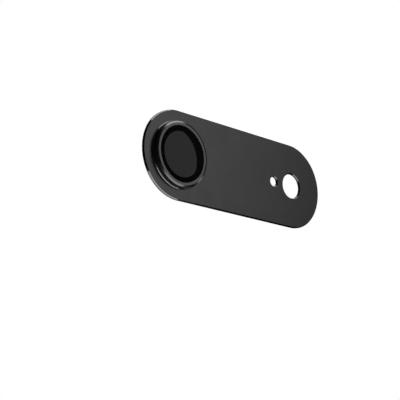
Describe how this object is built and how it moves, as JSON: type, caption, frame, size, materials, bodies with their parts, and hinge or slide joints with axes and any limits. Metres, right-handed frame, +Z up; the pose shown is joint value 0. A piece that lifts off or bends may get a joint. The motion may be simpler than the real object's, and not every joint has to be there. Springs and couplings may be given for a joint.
{
  "type": "phone camera lens protector",
  "caption": "Pill-shaped stick-on cover for a phone's camera plateau, with a raised lens collar and cover glass, a microphone hole and a flash hole.",
  "frame": {"origin": "centre of the sticky back face, midway along the plate and midway up it", "axes": "+X along the plate from the lens end to the flash end, +Y out of the sticky back face towards the phone, +Z up; the front looks along -Y"},
  "size_m": [0.0674, 0.0032, 0.0242],
  "materials": {
    "plate_metal": "fine bead-blasted, anodised charcoal, with polished bevels",
    "collar_metal": "gloss black anodised wall, satin top, polished bevel",
    "smoked_glass": "polished, dark, with an anti-reflective coat",
    "border_ink": "black ink printed under the glass",
    "glue": "cured glue",
    "glue_film": "tacky acrylic film over black foam",
    "foam": "closed-cell black foam"
  },
  "bodies": {
    "root": {"cover_plate": "plate_metal", "lens_collar": "collar_metal", "collar_bond": "glue", "cover_glass": "smoked_glass", "glass_border": "border_ink", "glass_bond": "glue", "pad_front_film": "glue_film", "pad_foam": "foam", "pad_back_film": "glue_film"}
  },
  "joints": []
}
